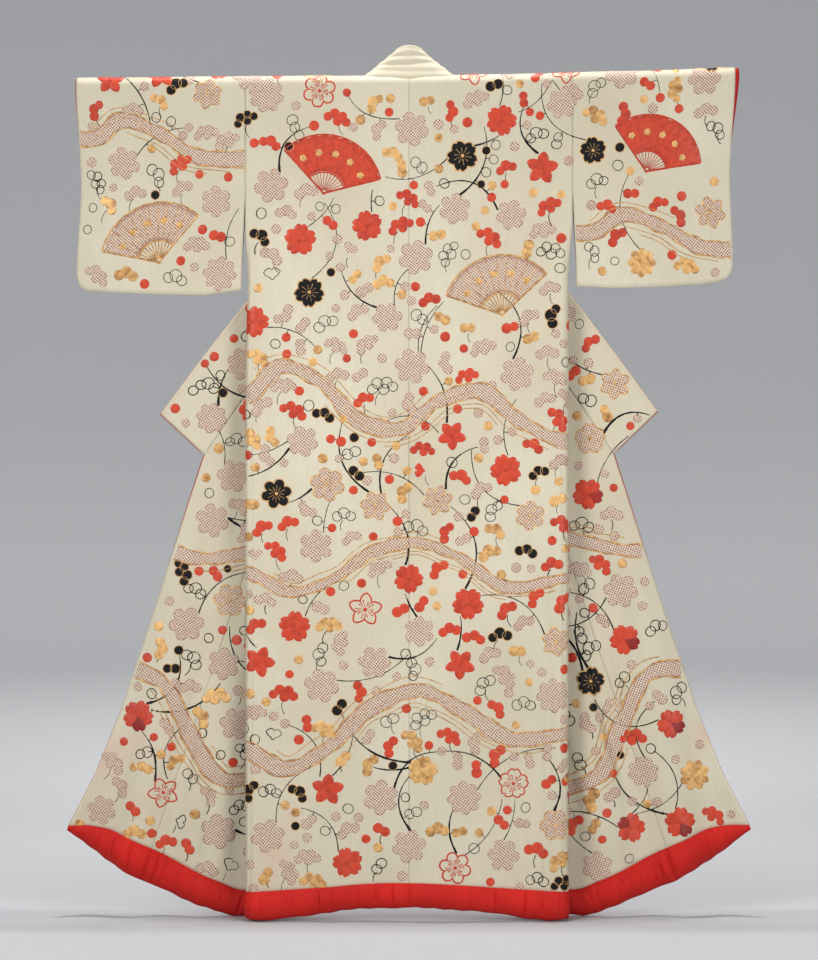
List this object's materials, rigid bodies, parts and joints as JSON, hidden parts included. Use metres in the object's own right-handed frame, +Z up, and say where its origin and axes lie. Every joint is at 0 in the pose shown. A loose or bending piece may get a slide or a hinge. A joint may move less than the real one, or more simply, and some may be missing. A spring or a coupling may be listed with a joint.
{
  "type": "kosode",
  "caption": "East Asian silk robe spread from cuff to cuff and held at its shoulders, fronts turned back into fans, red lining and a padded red hem.",
  "frame": {"origin": "on the shoulder line at the centre of the neck, where the garment is held", "axes": "+X across, towards the wearer's right sleeve, +Y towards the front, with the garment's back facing -Y, +Z up from hem to shoulders"},
  "size_m": [1.3731, 0.1152, 1.7588],
  "materials": {
    "silk": "cream silk crepe with a soft sheen",
    "lining": "plain red silk",
    "hem": "plain red silk, padded",
    "thread_vermilion": "vermilion satin stitch",
    "thread_gold": "couched gold thread",
    "thread_black": "black silk stitch",
    "dotted": "small tied-and-dyed dots"
  },
  "bodies": {
    "root": {"body_left": "silk", "body_right": "silk", "overlap_left": "silk", "overlap_right": "silk", "sleeve_left": "silk", "sleeve_right": "silk", "collar": "silk", "body_lining_left": "lining", "body_lining_right": "lining", "overlap_lining_left": "lining", "overlap_lining_right": "lining", "sleeve_lining_left": "lining", "sleeve_lining_right": "lining", "collar_lining": "lining", "hem_back_left": "hem", "hem_back_right": "hem", "hem_front_left": "hem", "hem_front_right": "hem", "hem_overlap_left": "hem", "hem_overlap_right": "hem"}
  },
  "joints": []
}
